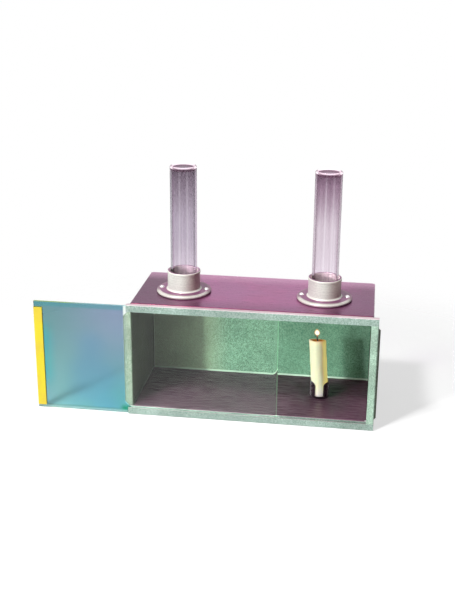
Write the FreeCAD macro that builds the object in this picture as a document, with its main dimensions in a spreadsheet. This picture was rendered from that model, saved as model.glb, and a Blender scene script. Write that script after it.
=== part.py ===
import FreeCAD, Part
import math
import os
import re
import Sketcher

# Driving sizes in millimetres. The frame: X runs along the box to the right as seen from its glass front,
# Y runs from the glass to the back wall, Z is up. The origin is on the table, in the plane of the glass,
# midway between the side walls.
SIZES = {
    # Sheet-metal box
    "box_length": 250.0,
    "box_depth": 106.0,
    "box_height": 124.0,
    "sheet": 0.8,
    "bend_radius": 0.8,
    "lid_flange": 10.0,
    "rear_flange": 12.0,
    "corner_notch": 2.4,
    "lip_width": 8.0,
    "lip_relief": 4.5,
    # Channels that the glass slides in
    "channel_sheet": 0.8,
    "channel_bend": 0.6,
    "channel_lip": 7.6,
    "channel_left": 3.6,
    "channel_right": 6.0,
    "channel_corner": 1.5,
    # Sliding glass and the tape on its edge
    "pane_thickness": 3.0,
    "pane_play": 0.8,
    "pane_head_gap": 1.2,
    "pane_stop_gap": 0.2,
    "pane_left_gap": 0.4,
    "pane_pull": 99.8,
    "pane_bevel": 0.3,
    "pane_nose": 4.8,
    "pane_nose_flat": 0.6,
    "tape_width": 8.8,
    "tape_thickness": 0.25,
    "tape_top": 6.5,
    "tape_bottom": 2.8,
    # Glass chimneys
    "chimney_diameter": 28.0,
    "chimney_length": 137.0,
    "glass_wall": 1.8,
    "bead_radius": 1.4,
    # Cast collars that hold the chimneys
    "collar_play": 0.8,
    "collar_diameter": 35.2,
    "collar_height": 24.4,
    "collar_rim": 3.0,
    "collar_step": 0.3,
    "collar_edge": 0.9,
    "collar_root": 2.0,
    "flange_diameter": 58.4,
    "flange_thickness": 3.5,
    "flange_edge": 1.6,
    "collar_setback": 46.7,
    "left_collar_inset": 48.0,
    "right_collar_inset": 52.0,
    # Rivets
    "rivet_inset": 5.2,
    "rivet_diameter": 3.2,
    "rivet_play": 0.05,
    "rivet_head": 5.4,
    "rivet_dome": 1.9,
    "rivet_tail": 1.0,
    # Candle and its clip
    "candle_diameter": 18.4,
    "candle_height": 67.0,
    "candle_inset": 53.6,
    "candle_setback": 53.7,
    "candle_dish": 2.6,
    "candle_rim": 1.2,
    "candle_foot": 2.8,
    "wick_diameter": 1.8,
    "wick_play": 0.05,
    "wick_rise": 2.6,
    "wick_seat": 4.0,
    "clip_play": 0.3,
    "clip_sheet": 0.8,
    "clip_height": 19.0,
    "clip_heel": 2.4,
    "clip_gap": 9.0,
    "clip_corner": 4.0,
    "clip_foot_corner": 2.0,
    "clip_rivet_head": 5.6,
    "clip_rivet_rise": 0.7,
}

# Places worked out from those sizes
SLOT_HALF = "(pane_thickness / 2 + pane_play)"
CHANNEL_HALF = "(pane_thickness / 2 + pane_play + channel_sheet)"
BOX_FRONT = CHANNEL_HALF
WALL_HEIGHT = "(box_height - sheet - bend_radius)"
BACK_HEIGHT = "(box_height - sheet)"
BEND_OUTSIDE = "(bend_radius + sheet)"
CHIMNEY_BORE = "(chimney_diameter / 2 - glass_wall)"
BEAD_MIDDLE = "(chimney_diameter / 2 - bead_radius)"
COLLAR_BORE = "(chimney_diameter / 2 + collar_play)"
RIVET_REACH = "(flange_diameter / 2 - rivet_inset)"
FLOOR_TOP = "(channel_lip + sheet)"
RIVET_HOLE = "(rivet_diameter / 2 + rivet_play)"
LEFT_COLLAR_X = "(left_collar_inset - box_length / 2)"
RIGHT_COLLAR_X = "(box_length / 2 - right_collar_inset)"
CANDLE_X = "(box_length / 2 - candle_inset)"
CANDLE_RADIUS = "(candle_diameter / 2)"
CLIP_INSIDE = "(candle_diameter / 2 + clip_play)"
CLIP_OUTSIDE = "(candle_diameter / 2 + clip_play + clip_sheet)"
PANE_HEIGHT = "(box_height - 2 * channel_sheet - pane_head_gap)"
PANE_RIGHT = "(box_length / 2 + channel_right - channel_sheet - pane_stop_gap - pane_pull)"
PANE_LENGTH = ("(box_length + channel_left + channel_right - channel_sheet"
               " - pane_stop_gap - pane_left_gap)")
NEAR = 0.02

doc = FreeCAD.newDocument("convection_box")
sheet = doc.addObject("Spreadsheet::Sheet", "Sizes")
for row, (size_name, size_value) in enumerate(SIZES.items(), 1):
    sheet.set(f"A{row}", size_name)
    sheet.set(f"B{row}", str(size_value))
    sheet.setAlias(f"B{row}", size_name)
doc.recompute()

SIZE_WORDS = re.compile(r"\b(" + "|".join(SIZES) + r")\b")


def bound(text):
    """Write an expression with each size pointing at its cell in the sheet."""
    return SIZE_WORDS.sub(r"Sizes.\1", text)


def number(text):
    """Give the present value of an expression."""
    value = sheet.evalExpression(bound(text))
    return float(getattr(value, "Value", value))


def tie(item, path, text):
    """Bind one property to an expression."""
    item.setExpression(path, bound(text))


# Sketches, pads and cuts


def start_body(label, x="0", y="0", z="0"):
    """Make a body whose own origin is placed at x, y, z."""
    body = doc.addObject("PartDesign::Body", label)
    body.Label = label
    for axis, text in zip("xyz", (x, y, z)):
        tie(body, f"Placement.Base.{axis}", text)
    return body


def start_sketch(body, name, plane, offset):
    """Attach a sketch to one of its body's origin planes, moved along the plane's normal."""
    sketch = body.newObject("Sketcher::SketchObject", name)
    support = [item for item in body.Origin.OriginFeatures if item.Role == plane][0]
    sketch.AttachmentSupport = (support, [""])
    sketch.MapMode = "FlatFace"
    tie(sketch, "AttachmentOffset.Base.z", offset)
    return sketch


def hold(sketch, kind, first, second, text, name):
    """Set one named distance of a sketch from an expression."""
    index = sketch.addConstraint(Sketcher.Constraint(kind, *first, *second, number(text)))
    sketch.renameConstraint(index, name)
    tie(sketch, f"Constraints.{name}", text)


def arc_between(start, end, radius, near):
    """Find the arc from start to end that passes nearest to a point, and whether it runs clockwise."""
    chord = end - start
    middle = (start + end) / 2
    across = FreeCAD.Vector(-chord.y, chord.x, 0).normalize()
    reach = math.sqrt(max(radius ** 2 - chord.Length ** 2 / 4, 0))
    found = [(middle + across * side * reach, middle + across * (side * reach + way * radius))
             for side in (1, -1) for way in (1, -1)]
    centre, top = min(found, key=lambda pair: pair[1].distanceToPoint(near))
    clockwise = (top - start).cross(end - top).z < 0
    first, last = (end, start) if clockwise else (start, end)
    from_angle, to_angle = (math.atan2(point.y - centre.y, point.x - centre.x) for point in (first, last))
    if to_angle < from_angle:
        to_angle += 2 * math.pi
    circle = Part.Circle(centre, FreeCAD.Vector(0, 0, 1), radius)
    return Part.ArcOfCircle(circle, from_angle, to_angle), clockwise


def outline(body, name, plane, corners, offset="0"):
    """Draw a closed outline.

    A corner is a pair of expressions. A corner that starts an arc also has the arc's radius and a point
    that the arc passes near.
    """
    sketch = start_sketch(body, name, plane, offset)
    points = [FreeCAD.Vector(number(corner[0]), number(corner[1]), 0) for corner in corners]
    ends = []
    for index, corner in enumerate(corners):
        start = points[index]
        end = points[(index + 1) % len(points)]
        turned = False
        if len(corner) == 2:
            line = Part.LineSegment(start, end)
        else:
            near = FreeCAD.Vector(number(corner[3][0]), number(corner[3][1]), 0)
            line, turned = arc_between(start, end, number(corner[2]), near)
        sketch.addGeometry(line, False)
        ends.append((2, 1) if turned else (1, 2))
    for index in range(len(corners)):
        after = (index + 1) % len(corners)
        joint = Sketcher.Constraint("Coincident", index, ends[index][1], after, ends[after][0])
        sketch.addConstraint(joint)
    for index, corner in enumerate(corners):
        place = (index, ends[index][0])
        hold(sketch, "DistanceX", (-1, 1), place, corner[0], f"corner_{index}_u")
        hold(sketch, "DistanceY", (-1, 1), place, corner[1], f"corner_{index}_v")
        if len(corner) == 4:
            hold(sketch, "Radius", (index,), (), corner[2], f"arc_{index}_radius")
    return sketch


def rectangle(body, name, plane, left, right, low, high, offset="0"):
    corners = [(left, low), (right, low), (right, high), (left, high)]
    return outline(body, name, plane, corners, offset)


def circles(body, name, centres, radius, offset="0"):
    """Draw level circles of one radius."""
    sketch = start_sketch(body, name, "XY_Plane", offset)
    for index, (x, y) in enumerate(centres):
        centre = FreeCAD.Vector(number(x), number(y), 0)
        sketch.addGeometry(Part.Circle(centre, FreeCAD.Vector(0, 0, 1), number(radius)), False)
        hold(sketch, "DistanceX", (-1, 1), (index, 3), x, f"centre_{index}_x")
        hold(sketch, "DistanceY", (-1, 1), (index, 3), y, f"centre_{index}_y")
        hold(sketch, "Radius", (index,), (), radius, f"circle_{index}_radius")
    return sketch


def pad(body, name, sketch, length, backwards=False):
    feature = body.newObject("PartDesign::Pad", name)
    feature.Profile = sketch
    tie(feature, "Length", length)
    feature.Reversed = backwards
    return feature


def pocket(body, name, sketch, length, backwards=False):
    """Cut a sketch into the body, and make sure that it took something away."""
    doc.recompute()
    before = body.Shape.Volume
    feature = body.newObject("PartDesign::Pocket", name)
    feature.Profile = sketch
    tie(feature, "Length", length)
    feature.Reversed = backwards
    doc.recompute()
    if not feature.Shape.Volume < before:
        raise ValueError(f"{body.Label}: {name} cuts nothing")
    return feature


def turn(body, name, corners):
    """Turn an outline of radius and height about the body's upright axis."""
    sketch = outline(body, name + "_outline", "XZ_Plane", corners)
    feature = body.newObject("PartDesign::Revolution", name)
    feature.Profile = sketch
    feature.ReferenceAxis = (sketch, ["V_Axis"])
    feature.Angle = 360
    return feature


# Rounding, with edges picked by where they lie


def runs_along(axis, first, second):
    """Pick straight edges along one axis that pass through a place given on the other two."""
    direction = {"x": (1, 0, 0), "y": (0, 1, 0), "z": (0, 0, 1)}[axis]
    others = [index for index in range(3) if not direction[index]]
    place = (number(first), number(second))

    def picked(edge):
        if not isinstance(edge.Curve, Part.Line):
            return False
        if abs(abs(edge.Curve.Direction.dot(FreeCAD.Vector(direction))) - 1) > NEAR:
            return False
        start = edge.Vertexes[0].Point
        return all(abs(start[index] - value) < NEAR for index, value in zip(others, place))

    return picked


def rings(radius, height):
    """Pick circular edges of one radius at one height."""

    def picked(edge):
        if not isinstance(edge.Curve, Part.Circle):
            return False
        same_radius = abs(edge.Curve.Radius - number(radius)) < NEAR
        return same_radius and abs(edge.Curve.Center.z - number(height)) < NEAR

    return picked


def soften(kind, body, name, size, *picks):
    """Round or bevel the picked edges of the body's last feature."""
    doc.recompute()
    base = body.Tip
    names = [f"Edge{index}" for index, edge in enumerate(base.Shape.Edges, 1)
             if any(pick(edge) for pick in picks)]
    if len(names) < len(picks):
        raise ValueError(f"{body.Label}: {name} finds {len(names)} edges for {len(picks)} places")
    feature = body.newObject(f"PartDesign::{kind}", name)
    feature.Base = (base, names)
    tie(feature, "Radius" if kind == "Fillet" else "Size", size)
    return feature


# Sheet-metal panels


def turned_sheet(body, side, back, front_notch, back_notch, drops):
    """Make a level sheet with its top at height 0 and an edge turned down on all four sides.

    The sheet reaches side to the left and right and from 0 to back. Its corners are notched, so that each
    turned edge ends square. drops holds the heights of the side, back and front edges.
    """
    side_drop, back_drop, front_drop = drops
    front_x = f"({side} - {front_notch[0]})"
    front_y = front_notch[1]
    back_x = f"({side} - {back_notch})"
    back_y = f"({back} - {back_notch})"
    half = [(front_x, "0"), (front_x, front_y), (side, front_y), (side, back_y), (back_x, back_y), (back_x, back)]
    other_half = [(f"-{u}", v) for u, v in reversed(half)]
    pad(body, "plate", outline(body, "plate_outline", "XY_Plane", half + other_half, "-sheet"), "sheet")
    for name, inner, outer in (("right_edge", f"{side} - sheet", side), ("left_edge", f"-{side}", f"-{side} + sheet")):
        sketch = rectangle(body, name + "_outline", "XY_Plane", inner, outer, front_y, back_y, "-" + side_drop)
        pad(body, name, sketch, side_drop)
    sketch = rectangle(body, "back_edge_outline", "XY_Plane", f"-{back_x}", back_x, f"{back} - sheet", back,
                       "-" + back_drop)
    pad(body, "back_edge", sketch, back_drop)
    sketch = rectangle(body, "front_edge_outline", "XY_Plane", f"-{front_x}", front_x, "0", "sheet",
                       "-" + front_drop)
    pad(body, "front_edge", sketch, front_drop)
    soften("Fillet", body, "bends_outside", BEND_OUTSIDE,
           runs_along("y", side, "0"), runs_along("y", f"-{side}", "0"),
           runs_along("x", back, "0"), runs_along("x", "0", "0"))
    soften("Fillet", body, "bends_inside", "bend_radius",
           runs_along("y", f"{side} - sheet", "-sheet"), runs_along("y", f"-({side} - sheet)", "-sheet"),
           runs_along("x", f"{back} - sheet", "-sheet"), runs_along("x", "sheet", "-sheet"))


def make_top_panel():
    """The lid: it fits over the walls, with draught holes and rivet holes under the two collars."""
    body = start_body("top_panel", y=BOX_FRONT, z="box_height")
    turned_sheet(body, "(box_length / 2 + sheet)", "(box_depth + sheet)",
                 ("2 * sheet", "(2 * sheet + pane_stop_gap)"), "corner_notch",
                 ("lid_flange", "lid_flange", "channel_lip"))
    draught = [(x, "collar_setback") for x in (LEFT_COLLAR_X, RIGHT_COLLAR_X)]
    pocket(body, "draught_holes", circles(body, "draught_circles", draught, CHIMNEY_BORE), "sheet")
    riveted = [(f"{x} {sign} {RIVET_REACH}", "collar_setback")
               for x in (LEFT_COLLAR_X, RIGHT_COLLAR_X) for sign in "-+"]
    pocket(body, "rivet_holes", circles(body, "rivet_circles", riveted, RIVET_HOLE), "sheet")
    return body


def make_floor_panel():
    """The raised floor: its turned-down edges stand on the table inside the walls."""
    body = start_body("floor_panel", y=BOX_FRONT, z=FLOOR_TOP)
    turned_sheet(body, "(box_length / 2 - sheet)", "(box_depth - 2 * sheet)",
                 ("corner_notch", "corner_notch"), "corner_notch", (FLOOR_TOP, FLOOR_TOP, FLOOR_TOP))
    centre = [(CANDLE_X, "candle_setback")]
    pocket(body, "clip_hole", circles(body, "clip_circle", centre, RIVET_HOLE), "sheet")
    return body


def make_back_panel():
    """The back wall, held between the floor's turned edge and the side walls' rear edges."""
    body = start_body("back_panel", y=f"{BOX_FRONT} + box_depth - 2 * sheet")
    side = "(box_length / 2 - sheet - bend_radius)"
    pad(body, "plate", rectangle(body, "plate_outline", "XY_Plane", f"-{side}", side, "0", "sheet"), BACK_HEIGHT)
    return body


def make_side_wall(label, sign):
    """A side wall with an outward lip at its front and a flange turned in behind the back wall."""
    body = start_body(label, x=f"{sign} box_length / 2", y=BOX_FRONT)
    across = [("lip_width", "0"), ("lip_width", "sheet"), ("0", "sheet"), ("0", "box_depth"),
              ("-rear_flange", "box_depth"), ("-rear_flange", "box_depth - sheet"),
              ("-sheet", "box_depth - sheet"), ("-sheet", "0")]
    across = [(f"{sign} ({u})", v) for u, v in across]
    pad(body, "wall", outline(body, "wall_outline", "XY_Plane", across), WALL_HEIGHT)
    soften("Fillet", body, "bends_outside", BEND_OUTSIDE,
           runs_along("z", f"{sign} (-sheet)", "0"), runs_along("z", "0", "box_depth"))
    soften("Fillet", body, "bends_inside", "bend_radius",
           runs_along("z", "0", "sheet"), runs_along("z", f"{sign} (-sheet)", "box_depth - sheet"))
    far = "(lip_width + sheet)"
    ends = {"top_mitre": (WALL_HEIGHT, f"{WALL_HEIGHT} - lip_relief", "-"), "foot_mitre": ("0", "lip_relief", "+")}
    for name, (edge, inner, way) in ends.items():
        cut = [("0", edge), (far, edge), (far, f"{inner} {way} {far}"), ("0", inner)]
        cut = [(f"{sign} ({u})", v) for u, v in cut]
        sketch = outline(body, name + "_outline", "XZ_Plane", cut)
        pocket(body, name, sketch, BEND_OUTSIDE)
    return body


# Glass channels


def make_level_channel(label, up, z):
    """A channel along the front of the box, open upwards with up "+" and downwards with up "-"."""
    body = start_body(label, x="-box_length / 2 - channel_left", z=z)
    section = [(f"-{CHANNEL_HALF}", "0"), (CHANNEL_HALF, "0"), (CHANNEL_HALF, "channel_lip"),
               (SLOT_HALF, "channel_lip"), (SLOT_HALF, "channel_sheet"), (f"-{SLOT_HALF}", "channel_sheet"),
               (f"-{SLOT_HALF}", "channel_lip"), (f"-{CHANNEL_HALF}", "channel_lip")]
    section = [(u, f"{up} {v}") for u, v in section]
    length = "box_length + channel_left + channel_right"
    pad(body, "channel", outline(body, "section", "YZ_Plane", section), length)
    soften("Fillet", body, "bends_outside", "channel_bend + channel_sheet",
           runs_along("x", f"-{CHANNEL_HALF}", "0"), runs_along("x", CHANNEL_HALF, "0"))
    soften("Fillet", body, "bends_inside", "channel_bend",
           runs_along("x", f"-{SLOT_HALF}", f"{up} channel_sheet"), runs_along("x", SLOT_HALF, f"{up} channel_sheet"))
    return body


def make_lower_channel():
    """The channel that stands on the table, with its right end's lower corner filed round."""
    body = make_level_channel("lower_channel", "+", "0")
    end = "(box_length + channel_left + channel_right)"
    near = (f"{end} - 0.29 * channel_corner", "0.29 * channel_corner")
    corner = [(f"{end} - channel_corner", "0", "channel_corner", near), (end, "channel_corner"), (end, "0")]
    sketch = outline(body, "filed_corner_outline", "XZ_Plane", corner, CHANNEL_HALF)
    pocket(body, "filed_corner", sketch, f"2 * {CHANNEL_HALF}")
    return body


def make_end_channel():
    """The upright channel that stops the closed pane, with a tongue into each level channel's open end."""
    body = start_body("end_channel", x="box_length / 2 + channel_right")
    section = [("0", f"-{CHANNEL_HALF}"), ("0", CHANNEL_HALF), ("-channel_lip", CHANNEL_HALF),
               ("-channel_lip", SLOT_HALF), ("-channel_sheet", SLOT_HALF), ("-channel_sheet", f"-{SLOT_HALF}"),
               ("-channel_lip", f"-{SLOT_HALF}"), ("-channel_lip", f"-{CHANNEL_HALF}")]
    pad(body, "channel", outline(body, "section", "XY_Plane", section, "channel_lip"), "box_height - 2 * channel_lip")
    soften("Fillet", body, "bends_outside", "channel_bend + channel_sheet",
           runs_along("z", "0", f"-{CHANNEL_HALF}"), runs_along("z", "0", CHANNEL_HALF))
    soften("Fillet", body, "bends_inside", "channel_bend",
           runs_along("z", "-channel_sheet", f"-{SLOT_HALF}"), runs_along("z", "-channel_sheet", SLOT_HALF))
    tongue = f"({SLOT_HALF} - channel_bend)"
    sketch = rectangle(body, "tongue_outline", "XY_Plane", "-channel_sheet", "0", f"-{tongue}", tongue,
                       "channel_sheet")
    pad(body, "tongue", sketch, "box_height - 2 * channel_sheet")
    return body


# Sliding glass


def make_glass_pane():
    """The sliding pane, drawn out to the left, with its inner end ground to a rounded nose."""
    body = start_body("glass_pane", x=PANE_RIGHT, z="channel_sheet")
    half = "(pane_thickness / 2)"
    flat = "(pane_nose_flat / 2)"
    drop = f"({half} - {flat})"
    radius = f"((pane_nose ^ 2 + {drop} ^ 2) / (2 * {drop}))"
    front = ("-pane_nose / 2", f"-({flat} + 0.75 * {drop})")
    back = ("-pane_nose / 2", f"({flat} + 0.75 * {drop})")
    plan = [(f"-{PANE_LENGTH}", f"-{half}"), ("-pane_nose", f"-{half}", radius, front), ("0", f"-{flat}"),
            ("0", flat, radius, back), ("-pane_nose", half), (f"-{PANE_LENGTH}", half)]
    pad(body, "pane", outline(body, "pane_plan", "XY_Plane", plan), PANE_HEIGHT)
    upright = [runs_along("z", f"-{PANE_LENGTH}", y) for y in (half, f"-{half}")]
    soften("Chamfer", body, "ground_edges", "pane_bevel", *upright)
    return body


def make_edge_tape():
    """The tape folded over the pane's left edge."""
    body = start_body("edge_tape", x=f"{PANE_RIGHT} - {PANE_LENGTH}", z="channel_sheet + tape_bottom")
    glass = "(pane_thickness / 2)"
    skin = "(pane_thickness / 2 + tape_thickness)"
    fold = [("-tape_thickness", f"-{skin}"), ("tape_width", f"-{skin}"), ("tape_width", f"-{glass}"),
            ("0", f"-{glass}"), ("0", glass), ("tape_width", glass), ("tape_width", skin),
            ("-tape_thickness", skin)]
    pad(body, "tape", outline(body, "fold", "XY_Plane", fold), f"{PANE_HEIGHT} - tape_top - tape_bottom")
    return body


# Chimneys and collars


def make_chimney(label, x):
    """A glass tube that stands on the lid inside its collar, its mouth fire-polished to a bead inside."""
    body = start_body(label, x=x, y=f"{BOX_FRONT} + collar_setback", z="box_height")
    outside = "(chimney_diameter / 2)"
    crown = "(chimney_length - bead_radius)"
    thicker = "(2 * bead_radius - glass_wall)"
    neck = f"({crown} - sqrt(bead_radius ^ 2 - (bead_radius - {thicker}) ^ 2))"
    turn(body, "tube", [(CHIMNEY_BORE, "0"), (outside, "0"),
                        (outside, crown, "bead_radius", (BEAD_MIDDLE, "chimney_length")), (CHIMNEY_BORE, neck)])
    return body


def make_collar(label, x):
    """A cast collar: a socket for the chimney on a round flange with two rivet holes."""
    body = start_body(label, x=x, y=f"{BOX_FRONT} + collar_setback", z="box_height")
    outside = "(collar_diameter / 2)"
    neck = "(collar_diameter / 2 - collar_step)"
    flange = "(flange_diameter / 2)"
    under_rim = "(collar_height - collar_rim)"
    turn(body, "socket", [(COLLAR_BORE, "0"), (flange, "0"), (flange, "flange_thickness"),
                          (neck, "flange_thickness"), (neck, under_rim), (outside, f"{under_rim} + collar_step"),
                          (outside, "collar_height"), (COLLAR_BORE, "collar_height")])
    soften("Fillet", body, "flange_rounding", "flange_edge", rings(flange, "flange_thickness"))
    soften("Fillet", body, "root_rounding", "collar_root", rings(neck, "flange_thickness"))
    soften("Fillet", body, "mouth_rounding", "collar_edge",
           rings(outside, "collar_height"), rings(COLLAR_BORE, "collar_height"))
    riveted = [(f"{sign} {RIVET_REACH}", "0") for sign in "-+"]
    sketch = circles(body, "rivet_circles", riveted, RIVET_HOLE, "flange_thickness")
    pocket(body, "rivet_holes", sketch, "flange_thickness")
    return body


# Rivets


def make_rivet(label, x, y, z, grip_up, grip_down, head_radius, dome):
    """A rivet with a domed head on top of what it grips and a flat tail below, its own zero at z."""
    body = start_body(label, x=x, y=y, z=z)
    shank = "(rivet_diameter / 2)"
    tail = "(rivet_head / 2)"
    crown = f"({grip_up} + {dome})"
    dome_radius = f"(({head_radius} ^ 2 + {dome} ^ 2) / (2 * {dome}))"
    shoulder = (f"{head_radius} * 0.7", f"{grip_up} + {dome} * 0.6")
    turn(body, "rivet", [("0", f"-{grip_down} - rivet_tail"), (tail, f"-{grip_down} - rivet_tail"),
                         (tail, f"-{grip_down}"), (shank, f"-{grip_down}"), (shank, grip_up),
                         (head_radius, grip_up, dome_radius, shoulder), ("0", crown)])
    return body


def make_collar_rivets():
    """Two rivets through each collar's flange and the lid."""
    made = []
    for side, x in (("left", LEFT_COLLAR_X), ("right", RIGHT_COLLAR_X)):
        for place, sign in (("left", "-"), ("right", "+")):
            label = f"{side}_collar_{place}_rivet"
            made.append(make_rivet(label, f"{x} {sign} {RIVET_REACH}", f"{BOX_FRONT} + collar_setback",
                                   "box_height", "flange_thickness", "sheet", "(rivet_head / 2)", "rivet_dome"))
    return made


# Candle and clip


def make_candle_clip():
    """A pressed cup, slotted front and back, whose two arms hold the candle's foot."""
    body = start_body("candle_clip", x=CANDLE_X, y=f"{BOX_FRONT} + candle_setback", z=FLOOR_TOP)
    turn(body, "cup", [("0", "0"), (CLIP_OUTSIDE, "0"), (CLIP_OUTSIDE, "clip_height"),
                       (CLIP_INSIDE, "clip_height"), (CLIP_INSIDE, "clip_sheet"), ("0", "clip_sheet")])
    soften("Fillet", body, "heel_outside", "clip_heel + clip_sheet", rings(CLIP_OUTSIDE, "0"))
    soften("Fillet", body, "heel_inside", "clip_heel", rings(CLIP_INSIDE, "clip_sheet"))
    half = "(clip_gap / 2)"
    wide = "(clip_gap / 2 + clip_corner)"
    low = "(clip_sheet + clip_heel)"
    shoulder = "(clip_height - clip_corner)"
    bulge = ("(clip_gap / 2 + 0.29 * clip_corner)", "(clip_height - 0.29 * clip_corner)")
    foot = "(clip_gap / 2 + clip_foot_corner)"
    ankle = "(clip_sheet + clip_heel + clip_foot_corner)"
    curl = ("(clip_gap / 2 + 0.29 * clip_foot_corner)", "(clip_sheet + clip_heel + 0.29 * clip_foot_corner)")
    slot = [(f"-{foot}", low), (foot, low, "clip_foot_corner", curl), (half, ankle),
            (half, shoulder, "clip_corner", bulge), (wide, "clip_height"),
            (f"-{wide}", "clip_height", "clip_corner", (f"-{bulge[0]}", bulge[1])), (f"-{half}", shoulder),
            (f"-{half}", ankle, "clip_foot_corner", (f"-{curl[0]}", curl[1]))]
    sketch = outline(body, "slot_outline", "XZ_Plane", slot, CLIP_OUTSIDE)
    pocket(body, "slot", sketch, f"2 * {CLIP_OUTSIDE}")
    pocket(body, "rivet_hole", circles(body, "rivet_circle", [("0", "0")], RIVET_HOLE, "clip_sheet"), "clip_sheet")
    return body


def make_candle():
    """The wax: a burnt-down household candle with a melted dish at its top and a moulded hollow foot."""
    body = start_body("candle", x=CANDLE_X, y=f"{BOX_FRONT} + candle_setback", z=f"{FLOOR_TOP} + clip_sheet")
    bore = "(wick_diameter / 2 + wick_play)"
    hollow = "(clip_rivet_head / 2 + clip_play)"
    hollow_top = "(clip_rivet_rise + clip_play)"
    rim = "(candle_diameter / 2 - candle_rim)"
    shoulder = "(candle_height - candle_rim)"
    round_point = ("(candle_diameter / 2 - 0.29 * candle_rim)", "(candle_height - 0.29 * candle_rim)")
    dish_radius = f"(({rim} ^ 2 + candle_dish ^ 2) / (2 * candle_dish))"
    dish_point = (f"{rim} / 2", "candle_height - 0.75 * candle_dish")
    dish_floor = f"(candle_height - candle_dish + {dish_radius} - sqrt({dish_radius} ^ 2 - {bore} ^ 2))"
    turn(body, "wax", [(hollow, "0"), (f"{CANDLE_RADIUS} - candle_foot", "0"), (CANDLE_RADIUS, "candle_foot"),
                       (CANDLE_RADIUS, shoulder, "candle_rim", round_point),
                       (rim, "candle_height", dish_radius, dish_point), (bore, dish_floor),
                       (bore, hollow_top), (hollow, hollow_top)])
    return body


def make_wick():
    body = start_body("wick", x=CANDLE_X, y=f"{BOX_FRONT} + candle_setback", z=f"{FLOOR_TOP} + clip_sheet")
    top = "(candle_height + wick_rise)"
    radius = "(wick_diameter / 2)"
    turn(body, "thread", [("0", "wick_seat"), (radius, "wick_seat"), (radius, f"{top} - {radius}"),
                          (f"{radius} / 2", top), ("0", top)])
    return body


def make_clip_rivet():
    """The rivet that holds the clip to the floor, its low head inside the candle's hollow foot."""
    return make_rivet("clip_rivet", CANDLE_X, f"{BOX_FRONT} + candle_setback", FLOOR_TOP,
                      "clip_sheet", "sheet", "(clip_rivet_head / 2)", "clip_rivet_rise")


bodies = [
    make_top_panel(),
    make_floor_panel(),
    make_back_panel(),
    make_side_wall("left_wall", "-"),
    make_side_wall("right_wall", "+"),
    make_level_channel("upper_channel", "-", "box_height"),
    make_lower_channel(),
    make_end_channel(),
    make_glass_pane(),
    make_edge_tape(),
    make_chimney("left_chimney", LEFT_COLLAR_X),
    make_chimney("right_chimney", RIGHT_COLLAR_X),
    make_collar("left_collar", LEFT_COLLAR_X),
    make_collar("right_collar", RIGHT_COLLAR_X),
    *make_collar_rivets(),
    make_candle_clip(),
    make_clip_rivet(),
    make_candle(),
    make_wick(),
]

doc.recompute()
for item in doc.Objects:
    if "Invalid" in item.State or "Error" in item.State:
        raise ValueError(f"{item.Label} did not compute")
os.makedirs("parts", exist_ok=True)
for body in bodies:
    shape = body.Shape
    if shape.isNull() or not shape.isValid() or len(shape.Solids) != 1:
        raise ValueError(f"{body.Label} is not one sound solid")
for body in bodies:
    body.Shape.exportStep(f"parts/{body.Label}.step")
    box = body.Shape.BoundBox
    print(f"{body.Label:26s} {body.Shape.Volume:10.1f} mm3  x {box.XMin:8.2f} {box.XMax:8.2f}"
          f"  y {box.YMin:7.2f} {box.YMax:7.2f}  z {box.ZMin:7.2f} {box.ZMax:7.2f}")
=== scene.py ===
import math

import bmesh
import bpy
from mathutils import Matrix, Vector


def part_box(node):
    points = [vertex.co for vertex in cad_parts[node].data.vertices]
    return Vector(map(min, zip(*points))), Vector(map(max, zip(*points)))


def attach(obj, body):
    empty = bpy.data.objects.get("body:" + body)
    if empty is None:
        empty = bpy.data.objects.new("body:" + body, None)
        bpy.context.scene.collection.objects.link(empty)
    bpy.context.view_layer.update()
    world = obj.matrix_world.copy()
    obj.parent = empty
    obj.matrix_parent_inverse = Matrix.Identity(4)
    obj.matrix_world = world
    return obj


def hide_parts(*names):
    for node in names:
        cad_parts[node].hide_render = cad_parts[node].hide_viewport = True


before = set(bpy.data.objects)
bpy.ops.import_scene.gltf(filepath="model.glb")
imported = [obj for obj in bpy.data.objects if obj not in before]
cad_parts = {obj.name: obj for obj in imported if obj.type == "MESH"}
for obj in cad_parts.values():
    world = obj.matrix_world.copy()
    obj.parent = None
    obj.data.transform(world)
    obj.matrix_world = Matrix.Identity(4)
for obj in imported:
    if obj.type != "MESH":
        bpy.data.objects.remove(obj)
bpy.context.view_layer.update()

# Every place and size is in metres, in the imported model's own frame.
MM = 0.001


# Places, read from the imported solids

def middle(node):
    low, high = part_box(node)
    return (low + high) / 2


LID_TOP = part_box("top_panel")[1].z
FLOOR_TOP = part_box("floor_panel")[1].z
COLLARS = {side: middle(f"{side}_collar") for side in ("left", "right")}
CANDLE = middle("candle")
CANDLE_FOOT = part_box("candle")[0].z
CANDLE_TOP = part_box("candle")[1].z

# The candle leans left by this share of its height above the middle of the clip
LEAN = 0.075
LEAN_START = FLOOR_TOP + 11 * MM


# Building node trees

def feed(tree, socket, value):
    """Link a socket to another one, or set its value."""
    if isinstance(value, bpy.types.NodeSocket):
        tree.links.new(value, socket)
    else:
        socket.default_value = value


def add(tree, kind, inputs=None, **settings):
    """Add a node with its settings, and feed its inputs by name or number."""
    node = tree.nodes.new(kind)
    for name, value in settings.items():
        setattr(node, name, value)
    for name, value in (inputs or {}).items():
        feed(tree, node.inputs[name], value)
    return node


def maths(tree, operation, first, second=0.0, third=0.0, clamp=False):
    node = add(tree, "ShaderNodeMath", {0: first, 1: second, 2: third}, operation=operation, use_clamp=clamp)
    return node.outputs[0]


def fade(tree, value, start, end, low=0.0, high=1.0):
    """Go smoothly from low to high as value goes from start to end."""
    inputs = {"Value": value, "From Min": start, "From Max": end, "To Min": low, "To Max": high}
    node = add(tree, "ShaderNodeMapRange", inputs, interpolation_type="SMOOTHSTEP")
    return node.outputs["Result"]


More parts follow.
